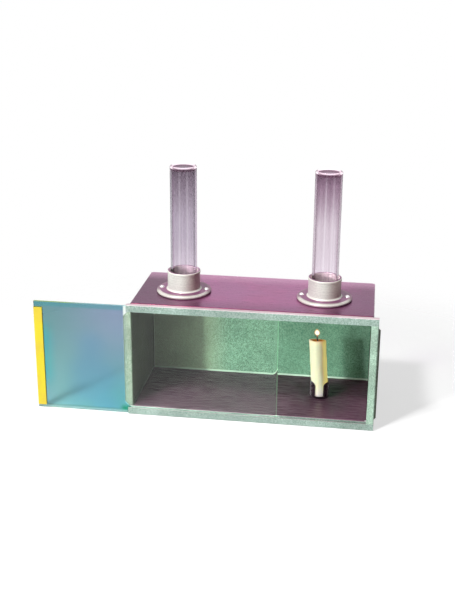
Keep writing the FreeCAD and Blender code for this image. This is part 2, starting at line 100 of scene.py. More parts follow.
def between(tree, value, low, high, soft):
    """1 where value lies between low and high, with soft ends."""
    rising = fade(tree, value, low - soft, low + soft)
    falling = fade(tree, value, high - soft, high + soft, 1.0, 0.0)
    return maths(tree, "MULTIPLY", rising, falling)


def blend_colour(tree, amount, first, second, way="MIX"):
    node = add(tree, "ShaderNodeMix", data_type="RGBA", blend_type=way)
    for index, value in ((0, amount), (6, first), (7, second)):
        feed(tree, node.inputs[index], value)
    return node.outputs[2]


def rgb(red, green, blue):
    return (red, green, blue, 1.0)


def place_on_piece(tree, scale=(1, 1, 1), centre=(0, 0, 0)):
    """Object coordinates counted from a centre and scaled."""
    where = add(tree, "ShaderNodeTexCoord").outputs["Object"]
    moved = add(tree, "ShaderNodeVectorMath", {0: where, 1: centre}, operation="SUBTRACT").outputs[0]
    return add(tree, "ShaderNodeVectorMath", {0: moved, 1: scale}, operation="MULTIPLY").outputs[0]


def split(tree, vector):
    return add(tree, "ShaderNodeSeparateXYZ", {0: vector}).outputs


def noise(tree, where, scale, detail=2.0, roughness=0.5, distortion=0.0):
    inputs = {"Vector": where, "Scale": scale, "Detail": detail, "Roughness": roughness, "Distortion": distortion}
    return add(tree, "ShaderNodeTexNoise", inputs).outputs["Fac"]


def new_group(name, inputs, outputs):
    """Start a node group with named inputs, given as name and default, and named value outputs."""
    tree = bpy.data.node_groups.new(name, "ShaderNodeTree")
    for socket_name, default in inputs.items():
        socket = tree.interface.new_socket(socket_name, in_out="INPUT", socket_type="NodeSocketFloat")
        socket.default_value = default
    for socket_name in outputs:
        tree.interface.new_socket(socket_name, in_out="OUTPUT", socket_type="NodeSocketFloat")
    return tree, tree.nodes.new("NodeGroupInput").outputs, tree.nodes.new("NodeGroupOutput").inputs


def use_group(tree, group, **inputs):
    """Place a group with its inputs, given by name with _ for a space."""
    node = tree.nodes.new("ShaderNodeGroup")
    node.node_tree = group
    for name, value in inputs.items():
        feed(tree, node.inputs[name.replace("_", " ")], value)
    return node.outputs


def new_material(name, **settings):
    """Start a material. Settings are the shader's own sockets, with _ for a space."""
    material = bpy.data.materials.new(name)
    material.use_nodes = True
    tree = material.node_tree
    shader = tree.nodes["Principled BSDF"]
    for socket, value in settings.items():
        shader.inputs[socket.replace("_", " ")].default_value = value
    return material, tree, shader


def bump(tree, shader, height, distance, strength=1.0):
    node = add(tree, "ShaderNodeBump", {"Height": height, "Distance": distance, "Strength": strength})
    tree.links.new(node.outputs["Normal"], shader.inputs["Normal"])


# Shared effects

def build_spangle():
    """Galvanised sheet: fine light and dark flecks over faint crystals, and slow clouds."""
    tree, inputs, outputs = new_group("spangle", {"Fleck size": 1.2 * MM, "Cloud size": 45 * MM},
                                      ["Flecks", "Crystals", "Clouds"])
    where = place_on_piece(tree)
    fleck_scale = maths(tree, "DIVIDE", 1.0, inputs["Fleck size"])
    cloud_scale = maths(tree, "DIVIDE", 1.0, inputs["Cloud size"])
    flecks = noise(tree, where, fleck_scale, detail=3.0, roughness=0.62)
    feed(tree, outputs["Flecks"], fade(tree, flecks, 0.36, 0.66))
    cells = add(tree, "ShaderNodeTexVoronoi", {"Vector": where, "Scale": maths(tree, "MULTIPLY", fleck_scale, 0.33)})
    feed(tree, outputs["Crystals"], add(tree, "ShaderNodeSeparateColor", {0: cells.outputs["Color"]}).outputs[0])
    clouds = noise(tree, where, cloud_scale, detail=3.0, roughness=0.55)
    feed(tree, outputs["Clouds"], fade(tree, clouds, 0.3, 0.7))
    return tree


def build_rolling_grain():
    """Sheet metal's rolling grain: streaks along X, with fine orange peel between them."""
    tree, inputs, outputs = new_group("rolling_grain", {"Streak length": 14 * MM, "Streak width": 0.9 * MM},
                                      ["Streaks", "Peel"])
    where = add(tree, "ShaderNodeTexCoord").outputs["Object"]
    along = maths(tree, "DIVIDE", 1.0, inputs["Streak length"])
    across = maths(tree, "DIVIDE", 1.0, inputs["Streak width"])
    scale = add(tree, "ShaderNodeCombineXYZ", {0: along, 1: across, 2: across}).outputs[0]
    drawn = add(tree, "ShaderNodeVectorMath", {0: where, 1: scale}, operation="MULTIPLY").outputs[0]
    feed(tree, outputs["Streaks"], fade(tree, noise(tree, drawn, 1.0, detail=3.0, roughness=0.6), 0.3, 0.7))
    feed(tree, outputs["Peel"], noise(tree, where, maths(tree, "MULTIPLY", across, 0.8), detail=2.0))
    return tree


def build_upward():
    """How far a surface faces up, from 0 on a wall to 1 on a level top."""
    tree, inputs, outputs = new_group("upward", {"Start": 0.35, "End": 0.85}, ["Up"])
    facing = split(tree, add(tree, "ShaderNodeTexCoord").outputs["Normal"])
    feed(tree, outputs["Up"], fade(tree, facing["Z"], inputs["Start"], inputs["End"]))
    return tree


SPANGLE = build_spangle()
ROLLING_GRAIN = build_rolling_grain()
UPWARD = build_upward()


# Materials

def galvanised(name, light, dark, up, roughness=0.52, metallic=0.16, fleck=1.1, cloud_share=0.25, inside=None,
               inner_metallic=None, specular=0.5):
    """Mottled sheet, with faces that look up painted in the up colour as light from above. inside gives a wall's inner
    colours, masks of that face and of its bends, which get a painted highlight, and its patches of painted light and
    shade.
    """
    material, tree, shader = new_material(name, Specular_IOR_Level=specular)
    spangle = use_group(tree, SPANGLE, Fleck_size=fleck * MM)
    shade = maths(tree, "MULTIPLY_ADD", spangle["Crystals"], 0.22, maths(tree, "MULTIPLY", spangle["Flecks"], 0.78))
    colour = blend_colour(tree, shade, rgb(*dark), rgb(*light))
    if inside:
        inner_light, inner_dark, face, bends, patches = inside
        inner = blend_colour(tree, shade, rgb(*inner_dark), rgb(*inner_light))
        for patch, tone in patches:
            inner = blend_colour(tree, patch(tree), inner, rgb(*tone))
        # The bends take a painted highlight.
        inner = blend_colour(tree, bends(tree), inner, rgb(*PAINTED_BEND_HIGHLIGHT))
        colour = blend_colour(tree, face(tree), colour, inner)
    # Faces that look up take the up colour: painted coloured light and highlight from above.
    colour = blend_colour(tree, use_group(tree, UPWARD)["Up"], colour, rgb(*up))
    cloudy = fade(tree, spangle["Clouds"], 0.0, 1.0, 1.0 - cloud_share, 1.0)
    grey = add(tree, "ShaderNodeCombineColor", {0: cloudy, 1: cloudy, 2: cloudy}).outputs[0]
    feed(tree, shader.inputs["Base Color"], blend_colour(tree, 1.0, colour, grey, "MULTIPLY"))
    rough = fade(tree, spangle["Crystals"], 0.0, 1.0, roughness - 0.08, roughness + 0.08)
    feed(tree, shader.inputs["Roughness"], rough)
    metal = fade(tree, spangle["Flecks"], 0.0, 1.0, metallic - 0.1, metallic + 0.1)
    if inner_metallic is not None:
        metal = maths(tree, "MULTIPLY", metal, fade(tree, inside[2](tree), 0.0, 1.0, 1.0, inner_metallic / metallic))
    feed(tree, shader.inputs["Metallic"], metal)
    bump(tree, shader, spangle["Flecks"], 0.05 * MM, 0.5)
    return material


def back_inner_face(tree):
    """1 on the back wall's inner face."""
    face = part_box("back_panel")[0].y + 0.3 * MM
    return fade(tree, split(tree, place_on_piece(tree))["Y"], face - 0.02 * MM, face + 0.02 * MM, 1.0, 0.0)


def back_bend_highlights(tree):
    """1 along the bends where the back wall meets the floor and the left wall, where a highlight is painted."""
    parts = split(tree, place_on_piece(tree))
    foot = fade(tree, parts["Z"], FLOOR_TOP + 1.2 * MM, FLOOR_TOP + 1.8 * MM, 0.85, 0.0)
    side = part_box("back_panel")[0].x
    return maths(tree, "MAXIMUM", foot, fade(tree, parts["X"], side + 0.5 * MM, side + 1.1 * MM, 0.4, 0.0))


def wall_inner_face(tree):
    """1 on the side walls' inner faces."""
    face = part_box("floor_panel")[1].x + 0.3 * MM
    across = maths(tree, "ABSOLUTE", split(tree, place_on_piece(tree))["X"])
    return fade(tree, across, face - 0.02 * MM, face + 0.02 * MM, 1.0, 0.0)


def back_painted_shade(tree):
    """Where the back wall is painted darker to its right: painted shade."""
    return fade(tree, split(tree, place_on_piece(tree))["X"], 4 * MM, 36 * MM, 0.0, 0.45)


def back_painted_light(tree):
    """Where the back wall is painted a lighter olive at its left: painted light over the left wall's shadow."""
    return fade(tree, split(tree, place_on_piece(tree))["X"], -30 * MM, -75 * MM, 0.0, 0.55)


def wall_painted_shade(tree):
    """Where the side walls are painted darker towards the lid: painted shade under it."""
    return fade(tree, split(tree, place_on_piece(tree))["Z"], 70 * MM, 115 * MM, 0.0, 0.35)


# 1 along the bends where the side walls meet the floor, where a highlight is painted.
def wall_bend_highlights(tree):
    return fade(tree, split(tree, place_on_piece(tree))["Z"], FLOOR_TOP + 0.8 * MM, FLOOR_TOP + 1.3 * MM, 0.15, 0.0)


# The sheets' green is painted coloured light from the front on galvanised steel; their mottle is the steel's own
# spangle.
MINT_LIGHT, MINT_DARK, MINT_PAINTED_TOP_LIGHT = (0.58, 0.70, 0.65), (0.205, 0.34, 0.265), (0.75, 0.60, 0.64)
BACK_LIGHT, BACK_DARK = (0.37, 0.63, 0.44), (0.075, 0.185, 0.115)
LIP_LIGHT, LIP_DARK = (0.39, 0.41, 0.35), (0.145, 0.20, 0.14)
# The side walls' inner colours are far darker than their lips: painted shade inside the box.
WALL_LIGHT, WALL_DARK = (0.15, 0.17, 0.11), (0.05, 0.06, 0.04)
BACK_PAINTED_OLIVE = (0.62, 0.68, 0.44)
PAINTED_BEND_HIGHLIGHT = (0.80, 0.98, 0.80)
END_LIGHT, END_DARK = (0.72, 0.95, 0.78), (0.28, 0.47, 0.34)


mint_sheet = galvanised("mint_galvanised_sheet", MINT_LIGHT, MINT_DARK, MINT_PAINTED_TOP_LIGHT)
# The end channel gets a lighter copy of the mint sheet: painted light that makes up for the shade where it stands.
end_sheet = galvanised("mint_galvanised_end", END_LIGHT, END_DARK, MINT_PAINTED_TOP_LIGHT)
back_sheet = galvanised("green_galvanised_back", MINT_LIGHT, MINT_DARK, MINT_PAINTED_TOP_LIGHT, fleck=0.9, cloud_share=0.15,
                        inside=(BACK_LIGHT, BACK_DARK, back_inner_face, back_bend_highlights,
                                ((back_painted_shade, BACK_DARK), (back_painted_light, BACK_PAINTED_OLIVE))),
                        inner_metallic=0.0, specular=0.05)
wall_sheet = galvanised("green_galvanised_wall", LIP_LIGHT, LIP_DARK, MINT_PAINTED_TOP_LIGHT, fleck=0.9,
                        inside=(WALL_LIGHT, WALL_DARK, wall_inner_face, wall_bend_highlights, ((wall_painted_shade, WALL_DARK),)),
                        inner_metallic=0.06, specular=0.3)


def purple_lid():
    """The lid's semi-gloss sheet, its purple painted coloured light from above: painted shade darkens its ends and
    front, a painted sheen makes it paler at its middle and back, and a painted crimson reflection lies where it bends
    at the front.
    """
    material, tree, shader = new_material("purple_lid_sheet")
    grain = use_group(tree, ROLLING_GRAIN)
    clouds = use_group(tree, SPANGLE, Fleck_size=0.8 * MM, Cloud_size=60 * MM)
    where = split(tree, place_on_piece(tree))
    colour = blend_colour(tree, grain["Streaks"], rgb(0.31, 0.07, 0.20), rgb(0.46, 0.14, 0.32))
    colour = blend_colour(tree, fade(tree, clouds["Clouds"], 0.0, 1.0, 0.0, 0.3), colour, rgb(0.30, 0.14, 0.30))
    # Painted shade: darker towards both ends.
    left_painted_shade = fade(tree, where["X"], -45 * MM, -110 * MM, 0.0, 0.9)
    colour = blend_colour(tree, left_painted_shade, colour, rgb(0.11, 0.035, 0.085))
    right_painted_shade = fade(tree, where["X"], 50 * MM, 120 * MM, 0.0, 0.8)
    colour = blend_colour(tree, right_painted_shade, colour, rgb(0.15, 0.045, 0.115))
    low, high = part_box("top_panel")
    # Painted sheen: paler towards the back.
    colour = blend_colour(tree, fade(tree, where["Y"], 80 * MM, high.y, 0.0, 0.55), colour, rgb(0.70, 0.36, 0.56))
    # Painted shade: darker towards the front.
    front = fade(tree, where["Y"], 34 * MM, 6 * MM, 0.0, 0.5)
    colour = blend_colour(tree, front, colour, rgb(0.16, 0.045, 0.12))
    # Painted reflection: dark crimson along the front bend.
    bend_painted_reflection = fade(tree, where["Y"], low.y + 0.5 * MM, low.y + 1.4 * MM, 0.85, 0.0)
    colour = blend_colour(tree, bend_painted_reflection, colour, rgb(0.20, 0.02, 0.06))
    feed(tree, shader.inputs["Base Color"], colour)
    feed(tree, shader.inputs["Metallic"], fade(tree, clouds["Flecks"], 0.0, 1.0, 0.80, 0.92))
    feed(tree, shader.inputs["Roughness"], fade(tree, grain["Streaks"], 0.0, 1.0, 0.26, 0.38))
    height = maths(tree, "MULTIPLY_ADD", grain["Peel"], 0.4, grain["Streaks"])
    bump(tree, shader, height, 0.03 * MM, 0.6)
    return material


def purple_floor():
    """The floor's glossy dark sheet, with scratches, painted light making it lighter towards its right, and a sooty
    dark patch round the candle that is also painted shadow.
    """
    material, tree, shader = new_material("dark_floor_sheet", Specular_IOR_Level=0.2)
    grain = use_group(tree, ROLLING_GRAIN, Streak_length=20 * MM, Streak_width=1.2 * MM)
    spangle = use_group(tree, SPANGLE, Fleck_size=1.1 * MM)
    colour = blend_colour(tree, grain["Streaks"], rgb(0.058, 0.030, 0.042), rgb(0.118, 0.060, 0.088))
    # Painted light: the floor is lighter towards its right.
    floor_painted_lighter = fade(tree, split(tree, place_on_piece(tree))["X"], 25 * MM, 100 * MM, 0.0, 0.6)
    colour = blend_colour(tree, floor_painted_lighter, colour, rgb(0.19, 0.095, 0.145))
    near = place_on_piece(tree, centre=(CANDLE.x, CANDLE.y, FLOOR_TOP))
    distance = add(tree, "ShaderNodeVectorMath", {0: near}, operation="LENGTH").outputs["Value"]
    patchy = maths(tree, "MULTIPLY_ADD", spangle["Clouds"], 18 * MM, distance)
    # A sooty dark patch round the candle, which also stands in as painted shadow of the candle.
    soot_and_shadow = fade(tree, patchy, 18 * MM, 60 * MM, 0.6, 0.0)
    colour = blend_colour(tree, soot_and_shadow, colour, rgb(0.022, 0.014, 0.016))
    feed(tree, shader.inputs["Base Color"], colour)
    feed(tree, shader.inputs["Metallic"], fade(tree, spangle["Flecks"], 0.0, 1.0, 0.0, 0.06))
    feed(tree, shader.inputs["Roughness"], fade(tree, grain["Streaks"], 0.0, 1.0, 0.24, 0.34))
    bump(tree, shader, grain["Streaks"], 0.03 * MM, 0.5)
    return material


def collar_aluminium(name, centre):
    """Cast and turned aluminium with rings round the centre, and painted light: highlights on its rounded edges and
    front rim, a mauve reflection on its flats, a pale left and brown right side, and a pale bore.
    """
    material, tree, shader = new_material(name)
    where = place_on_piece(tree, centre=centre)
    parts = split(tree, where)
    cast = noise(tree, where, 700.0, detail=4.0, roughness=0.65)
    flat = add(tree, "ShaderNodeCombineXYZ", {0: parts["X"], 1: parts["Y"]}).outputs[0]
    radius = add(tree, "ShaderNodeVectorMath", {0: flat}, operation="LENGTH").outputs["Value"]
    ring = add(tree, "ShaderNodeCombineXYZ", {0: maths(tree, "MULTIPLY", radius, 1900.0),
                                              1: maths(tree, "MULTIPLY", parts["Z"], 1500.0)}).outputs[0]
    marks = noise(tree, ring, 1.0, detail=2.0)
    shade = fade(tree, maths(tree, "MULTIPLY_ADD", marks, 0.6, maths(tree, "MULTIPLY", cast, 0.4)), 0.35, 0.65)
    facing = split(tree, add(tree, "ShaderNodeTexCoord").outputs["Normal"])
    # Painted light and shade: what faces left is pale, what faces right brown.
    side = blend_colour(tree, fade(tree, facing["X"], -0.1, 0.95), rgb(0.86, 0.86, 0.79), rgb(0.53, 0.39, 0.36))
    # Painted highlight on the rounded edges.
    rounded = fade(tree, facing["Z"], 0.12, 0.45)
    colour = blend_colour(tree, rounded, side, rgb(0.92, 0.89, 0.82))
    # Painted reflection: the level flats take the lid's mauve.
    colour = blend_colour(tree, fade(tree, facing["Z"], 0.80, 0.97), colour, rgb(0.30, 0.09, 0.22))
    # Painted highlight: the rim is pale cream at the front and mauve at the back.
    rim = fade(tree, radius, 25.0 * MM, 26.2 * MM)
    at_front = fade(tree, parts["Y"], -15 * MM, -3 * MM, 0.9, 0.0)
    rim_highlight_colour = blend_colour(tree, at_front, rgb(0.30, 0.14, 0.21), rgb(0.90, 0.89, 0.80))
    colour = blend_colour(tree, maths(tree, "MULTIPLY", rim, 0.9), colour, rim_highlight_colour)
    # Painted light: the bore is pale.
    bore = fade(tree, radius, 15.4 * MM, 15.0 * MM)
    colour = blend_colour(tree, bore, colour, rgb(0.94, 0.90, 0.78))
    grey = fade(tree, shade, 0.0, 1.0, 0.74, 1.0)
    grey = add(tree, "ShaderNodeCombineColor", {0: grey, 1: grey, 2: grey}).outputs[0]
    feed(tree, shader.inputs["Base Color"], blend_colour(tree, 1.0, colour, grey, "MULTIPLY"))
    feed(tree, shader.inputs["Metallic"], fade(tree, cast, 0.3, 0.7, 0.28, 0.46))
    feed(tree, shader.inputs["Roughness"], fade(tree, shade, 0.0, 1.0, 0.28, 0.42))
    bump(tree, shader, shade, 0.06 * MM, 0.6)
    return material


def small_part_metal(name, light, dark, roughness, flank_highlight=None):
    """Pressed aluminium of the clip and rivets, with fine scuffs. The colour given for what faces sideways is a
    painted highlight.
    """
    material, tree, shader = new_material(name, Metallic=0.9)
    where = place_on_piece(tree)
    scuffs = noise(tree, place_on_piece(tree, scale=(1, 1, 0.4)), 1500.0, detail=3.0, roughness=0.6)
    colour = blend_colour(tree, fade(tree, scuffs, 0.3, 0.7), rgb(*dark), rgb(*light))
    if flank_highlight:
        facing = split(tree, add(tree, "ShaderNodeTexCoord").outputs["Normal"])
        sideways = fade(tree, maths(tree, "ABSOLUTE", facing["X"]), 0.72, 0.96, 0.0, 0.8)
        colour = blend_colour(tree, sideways, colour, rgb(*flank_highlight))
    feed(tree, shader.inputs["Base Color"], colour)
    feed(tree, shader.inputs["Roughness"], fade(tree, noise(tree, where, 600.0), 0.3, 0.7, roughness - 0.06,
                                                roughness + 0.06))
    bump(tree, shader, scuffs, 0.04 * MM, 0.5)
    return material


def chimney_glass(name, centre, low, high, painted_tints, edges):
    """Tube glass with dark drawn streaks, and painted light: a mauve tint that deepens upwards as painted shade, two
    painted reflection streaks, painted reflections on its sides, and a pale polished mouth with a painted glow.
    """
    material, tree, shader = new_material(name, IOR=1.14, Metallic=0.0, Transmission_Weight=1.0)
    at_foot, at_middle, at_mouth = painted_tints
    where = split(tree, place_on_piece(tree, centre=(centre.x, centre.y, 0.0)))
    middle_z = (low + high) / 2
    # Painted coloured light and shade: the mauve tint darkens from foot to mouth.
    tint = blend_colour(tree, fade(tree, where["Z"], low, middle_z), rgb(*at_foot), rgb(*at_middle))
    tint = blend_colour(tree, fade(tree, where["Z"], middle_z, high), tint, rgb(*at_mouth))
    turn = maths(tree, "ARCTAN2", where["X"], maths(tree, "MULTIPLY", where["Y"], -1.0))
    cord = add(tree, "ShaderNodeCombineXYZ", {0: maths(tree, "MULTIPLY", turn, 5.0),
                                              1: maths(tree, "MULTIPLY", where["Z"], 6.0)}).outputs[0]
    dark_streaks = fade(tree, noise(tree, cord, 1.0, detail=2.0), 0.35, 0.6, 0.18, 0.0)
    tint = blend_colour(tree, dark_streaks, tint, rgb(*(value * 0.72 for value in at_mouth)))
    for streak in PAINTED_REFLECTION_STREAKS:
        line = between(tree, turn, streak - 0.07, streak + 0.07, 0.06)
        tint = blend_colour(tree, maths(tree, "MULTIPLY", line, 0.5), tint, rgb(0.97, 0.95, 0.98))
    # Painted reflection: the sides take darker colours, one for each side.
    sideways = split(tree, add(tree, "ShaderNodeTexCoord").outputs["Normal"])["X"]
    edge_reflection = blend_colour(tree, fade(tree, sideways, -0.3, 0.3), rgb(*edges[0]), rgb(*edges[1]))
    grazing = add(tree, "ShaderNodeLayerWeight", {"Blend": 0.5}).outputs["Facing"]
    tint = blend_colour(tree, fade(tree, grazing, 0.32, 0.66, 0.0, 0.92), tint, edge_reflection)
    # Painted shade: darker below the mouth.
    shaded = fade(tree, where["Z"], high - 16 * MM, high - 3 * MM, 0.0, 0.45)
    tint = blend_colour(tree, shaded, tint, rgb(*(value * 0.6 for value in at_mouth)))
    ring = between(tree, where["Z"], high - 4.2 * MM, high - 1.9 * MM, 0.5 * MM)
    tint = blend_colour(tree, maths(tree, "MULTIPLY", ring, 0.5), tint, rgb(0.20, 0.07, 0.13))
    # The fire-polished mouth is painted pale and given a glow of its own: painted highlight and glow.
    polished = fade(tree, where["Z"], high - 1.7 * MM, high - 1.1 * MM)
    feed(tree, shader.inputs["Emission Color"], blend_colour(tree, polished, rgb(0, 0, 0), rgb(0.42, 0.34, 0.38)))
    shader.inputs["Emission Strength"].default_value = 1.0
    feed(tree, shader.inputs["Base Color"], blend_colour(tree, polished, tint, rgb(0.98, 0.88, 0.92)))
    feed(tree, shader.inputs["Roughness"], fade(tree, polished, 0.0, 1.0, 0.0, 0.35))
    return see_light_through(material, tree, shader, (0.93, 0.90, 0.94))


# Angles, in radians from the front, of two painted reflection streaks down each tube
PAINTED_REFLECTION_STREAKS = (-0.13, 0.48)


def see_light_through(material, tree, shader, tint):
    """Let lamps shine through the glass, as clear glass does, and keep its own look for the eye."""
    clear = add(tree, "ShaderNodeBsdfTransparent", {"Color": rgb(*tint)})
    shadow = add(tree, "ShaderNodeLightPath").outputs["Is Shadow Ray"]
    mixed = add(tree, "ShaderNodeMixShader", {0: shadow, 1: shader.outputs[0], 2: clear.outputs[0]})
    output = tree.nodes["Material Output"]
    tree.links.new(mixed.outputs[0], output.inputs["Surface"])
    return material


def pane_glass():
    """Float glass, green at its cut edges. Blue where it stands outside the box and clear in front of it: the blue is
    painted coloured light and reflection.
    """
    material, tree, shader = new_material("pane_glass", IOR=1.34, Metallic=0.0, Transmission_Weight=1.0)
    where = split(tree, place_on_piece(tree))
    low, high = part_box("glass_pane")
    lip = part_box("left_wall")[0].x
    # Outside the box the glass is painted blue and teal: painted coloured light and reflection seen in it.
    across = fade(tree, where["X"], low.x, lip)
    upper = blend_colour(tree, across, rgb(0.145, 0.315, 0.325), rgb(0.25, 0.325, 0.465))
    lower = blend_colour(tree, across, rgb(0.21, 0.445, 0.455), rgb(0.10, 0.34, 0.335))
    outer = blend_colour(tree, fade(tree, where["Z"], low.z, high.z), lower, upper)
    patch = noise(tree, place_on_piece(tree), 16.0, detail=1.0)
    outer = blend_colour(tree, fade(tree, patch, 0.40, 0.70, 0.0, 0.4), outer, rgb(0.10, 0.27, 0.47))
    by_tape = fade(tree, where["X"], low.x + 9 * MM, low.x + 24 * MM, 0.6, 0.0)
    by_tape = maths(tree, "MULTIPLY", by_tape, between(tree, where["Z"], 30 * MM, 95 * MM, 14 * MM))
    outer = blend_colour(tree, by_tape, outer, rgb(0.03, 0.42, 0.42))
    head = between(tree, where["Z"], high.z - 5.0 * MM, high.z + 1 * MM, 0.6 * MM)
    outer = blend_colour(tree, maths(tree, "MULTIPLY", head, 0.55), outer, rgb(0.06, 0.32, 0.36))
    # Painted shade: deep green at the lower corner by the lip.
    corner = maths(tree, "SUBTRACT", LIP_MITRE, where["Z"])
    inward = maths(tree, "SUBTRACT", where["X"], maths(tree, "MAXIMUM", corner, 0.0))
    green = maths(tree, "MULTIPLY", fade(tree, where["Z"], 5 * MM, 11 * MM, 1.0, 0.0),
                  fade(tree, where["X"], lip - 6 * MM, lip))
    outer = blend_colour(tree, green, outer, rgb(0.0, 0.25, 0.13))
    colour = blend_colour(tree, fade(tree, inward, lip + 0.2 * MM, lip + 1.6 * MM), outer, rgb(0.90, 0.98, 0.93))
    foot = between(tree, where["Z"], low.z + 2.9 * MM, low.z + 3.5 * MM, 0.35 * MM)
    colour = blend_colour(tree, maths(tree, "MULTIPLY", foot, 0.8), colour, rgb(0.03, 0.16, 0.14))
    band = fade(tree, where["Z"], low.z + 2.6 * MM, low.z + 3.0 * MM, 0.8, 0.0)
    colour = blend_colour(tree, band, colour, rgb(0.28, 0.42, 0.40))
    facing = split(tree, add(tree, "ShaderNodeTexCoord").outputs["Normal"])
    # Painted light: the ground nose edge is pale and glows.
    ground = fade(tree, where["X"], high.x - 1.3 * MM, high.x - 0.8 * MM)
    colour = blend_colour(tree, ground, colour, rgb(0.74, 0.95, 0.78))
    feed(tree, shader.inputs["Emission Color"], blend_colour(tree, ground, rgb(0, 0, 0), rgb(0.05, 0.09, 0.055)))
    shader.inputs["Emission Strength"].default_value = 1.0
    cut_edge = fade(tree, maths(tree, "ABSOLUTE", facing["Y"]), 0.4, 0.75, 1.0, 0.0)
    colour = blend_colour(tree, cut_edge, colour, rgb(0.22, 0.52, 0.44))
    top_edge = fade(tree, facing["Z"], 0.4, 0.75)
    towards_tape = fade(tree, where["X"], low.x + 30 * MM, low.x + 60 * MM)
    top_colour = blend_colour(tree, towards_tape, rgb(0.95, 0.90, 0.10), rgb(0.40, 0.80, 0.80))
    colour = blend_colour(tree, top_edge, colour, top_colour)
    feed(tree, shader.inputs["Base Color"], colour)
    feed(tree, shader.inputs["Roughness"], fade(tree, cut_edge, 0.0, 1.0, 0.0, 0.4))
    return see_light_through(material, tree, shader, (0.94, 0.97, 0.96))


# The height under which the left lip's corner is cut away at 45 degrees
LIP_MITRE = 13.3 * MM


def yellow_tape():
    material, tree, shader = new_material("yellow_tape", Roughness=0.5)
    where = place_on_piece(tree)
    creases = noise(tree, place_on_piece(tree, scale=(1, 1, 0.25)), 260.0, detail=3.0, roughness=0.6)
    stain = noise(tree, where, 60.0, detail=3.0)
    colour = blend_colour(tree, fade(tree, stain, 0.35, 0.7), rgb(0.73, 0.61, 0.03), rgb(0.70, 0.53, 0.05))
    feed(tree, shader.inputs["Base Color"], colour)
    feed(tree, shader.inputs["Roughness"], fade(tree, creases, 0.3, 0.7, 0.42, 0.6))
    bump(tree, shader, creases, 0.08 * MM, 0.5)
    return material


def candle_wax():
    """Cream wax, chalky at its foot and orange at its melted rim, with painted light: yellower and glowing on its
    right, and glowing warm near its top.
    """
    material, tree, shader = new_material("candle_wax", Subsurface_Weight=0.2, Subsurface_Scale=0.003)
    shader.inputs["Subsurface Radius"].default_value = (1.0, 0.6, 0.3)
    where = place_on_piece(tree, centre=(CANDLE.x, CANDLE.y, CANDLE_TOP))
    parts = split(tree, where)
    leaning = maths(tree, "MULTIPLY_ADD", parts["Z"], LEAN, parts["X"])
    upright_x = maths(tree, "ADD", leaning, LEAN * (CANDLE_TOP - LEAN_START))
    mottle = noise(tree, place_on_piece(tree, scale=(1, 1, 0.35)), 190.0, detail=3.0)
    side = maths(tree, "MULTIPLY_ADD", mottle, 3.0 * MM, upright_x)
    # Painted light: the right side is painted yellower.
    colour = blend_colour(tree, fade(tree, side, 3 * MM, 9.5 * MM), rgb(0.84, 0.83, 0.56), rgb(0.76, 0.66, 0.28))
    chalk = fade(tree, maths(tree, "MULTIPLY_ADD", mottle, 9 * MM, parts["Z"]), -60 * MM, -46 * MM, 1.0, 0.0)
    colour = blend_colour(tree, chalk, colour, rgb(0.84, 0.80, 0.70))
    flat = add(tree, "ShaderNodeCombineXYZ", {0: upright_x, 1: parts["Y"]}).outputs[0]
    radius = add(tree, "ShaderNodeVectorMath", {0: flat}, operation="LENGTH").outputs["Value"]
    high = fade(tree, parts["Z"], -1.5 * MM, -0.3 * MM)
    inside = fade(tree, radius, 8.3 * MM, 7.4 * MM)
    melted = maths(tree, "MAXIMUM", maths(tree, "MULTIPLY", high, 0.6), inside)
    colour = blend_colour(tree, melted, colour, rgb(0.80, 0.28, 0.05))
    feed(tree, shader.inputs["Base Color"], colour)
    feed(tree, shader.inputs["Roughness"], fade(tree, melted, 0.0, 1.0, 0.48, 0.16))
    # Painted light: a glow of its own on the right side, and a warm one near the top.
    lit = blend_colour(tree, fade(tree, side, 5 * MM, 9.2 * MM), rgb(0, 0, 0), rgb(0.56, 0.46, 0.14))
    glow = blend_colour(tree, fade(tree, parts["Z"], -8 * MM, 0.0, 0.0, 0.6), lit, rgb(0.26, 0.10, 0.015))
    feed(tree, shader.inputs["Emission Color"], glow)
    shader.inputs["Emission Strength"].default_value = 1.0
    bump(tree, shader, mottle, 0.2 * MM, 0.4)
    return material


def charred_wick():
    material, tree, shader = new_material("charred_wick", Roughness=0.9)
    where = place_on_piece(tree, centre=(CANDLE.x, CANDLE.y, CANDLE_TOP))
    ash = noise(tree, where, 2400.0, detail=3.0)
    tip = fade(tree, split(tree, where)["Z"], 1.2 * MM, 2.8 * MM)
    colour = blend_colour(tree, ash, rgb(0.012, 0.008, 0.007), rgb(0.05, 0.035, 0.03))
    feed(tree, shader.inputs["Base Color"], colour)
    feed(tree, shader.inputs["Emission Color"], blend_colour(tree, tip, rgb(0, 0, 0), rgb(1.0, 0.25, 0.04)))
    shader.inputs["Emission Strength"].default_value = 0.8
    bump(tree, shader, ash, 0.15 * MM)
    return material


def glowing(name, colour, strength, alpha=1.0):
    """Burning gas: it only gives light, warmer low down, and lets through what alpha leaves."""
    material, tree, shader = new_material(name, Roughness=1.0, Specular_IOR_Level=0.0, Alpha=alpha)
    shader.inputs["Base Color"].default_value = rgb(0.0, 0.0, 0.0)
    height = split(tree, place_on_piece(tree, centre=(CANDLE.x, CANDLE.y, CANDLE_TOP)))["Z"]
    warmer = tuple(value * share for value, share in zip(colour, (1.0, 0.86, 0.60)))
    feed(tree, shader.inputs["Emission Color"],
         blend_colour(tree, fade(tree, height, 3.4 * MM, 5.0 * MM), rgb(*warmer), rgb(*colour)))
    shader.inputs["Emission Strength"].default_value = strength
    return material


# Shapes

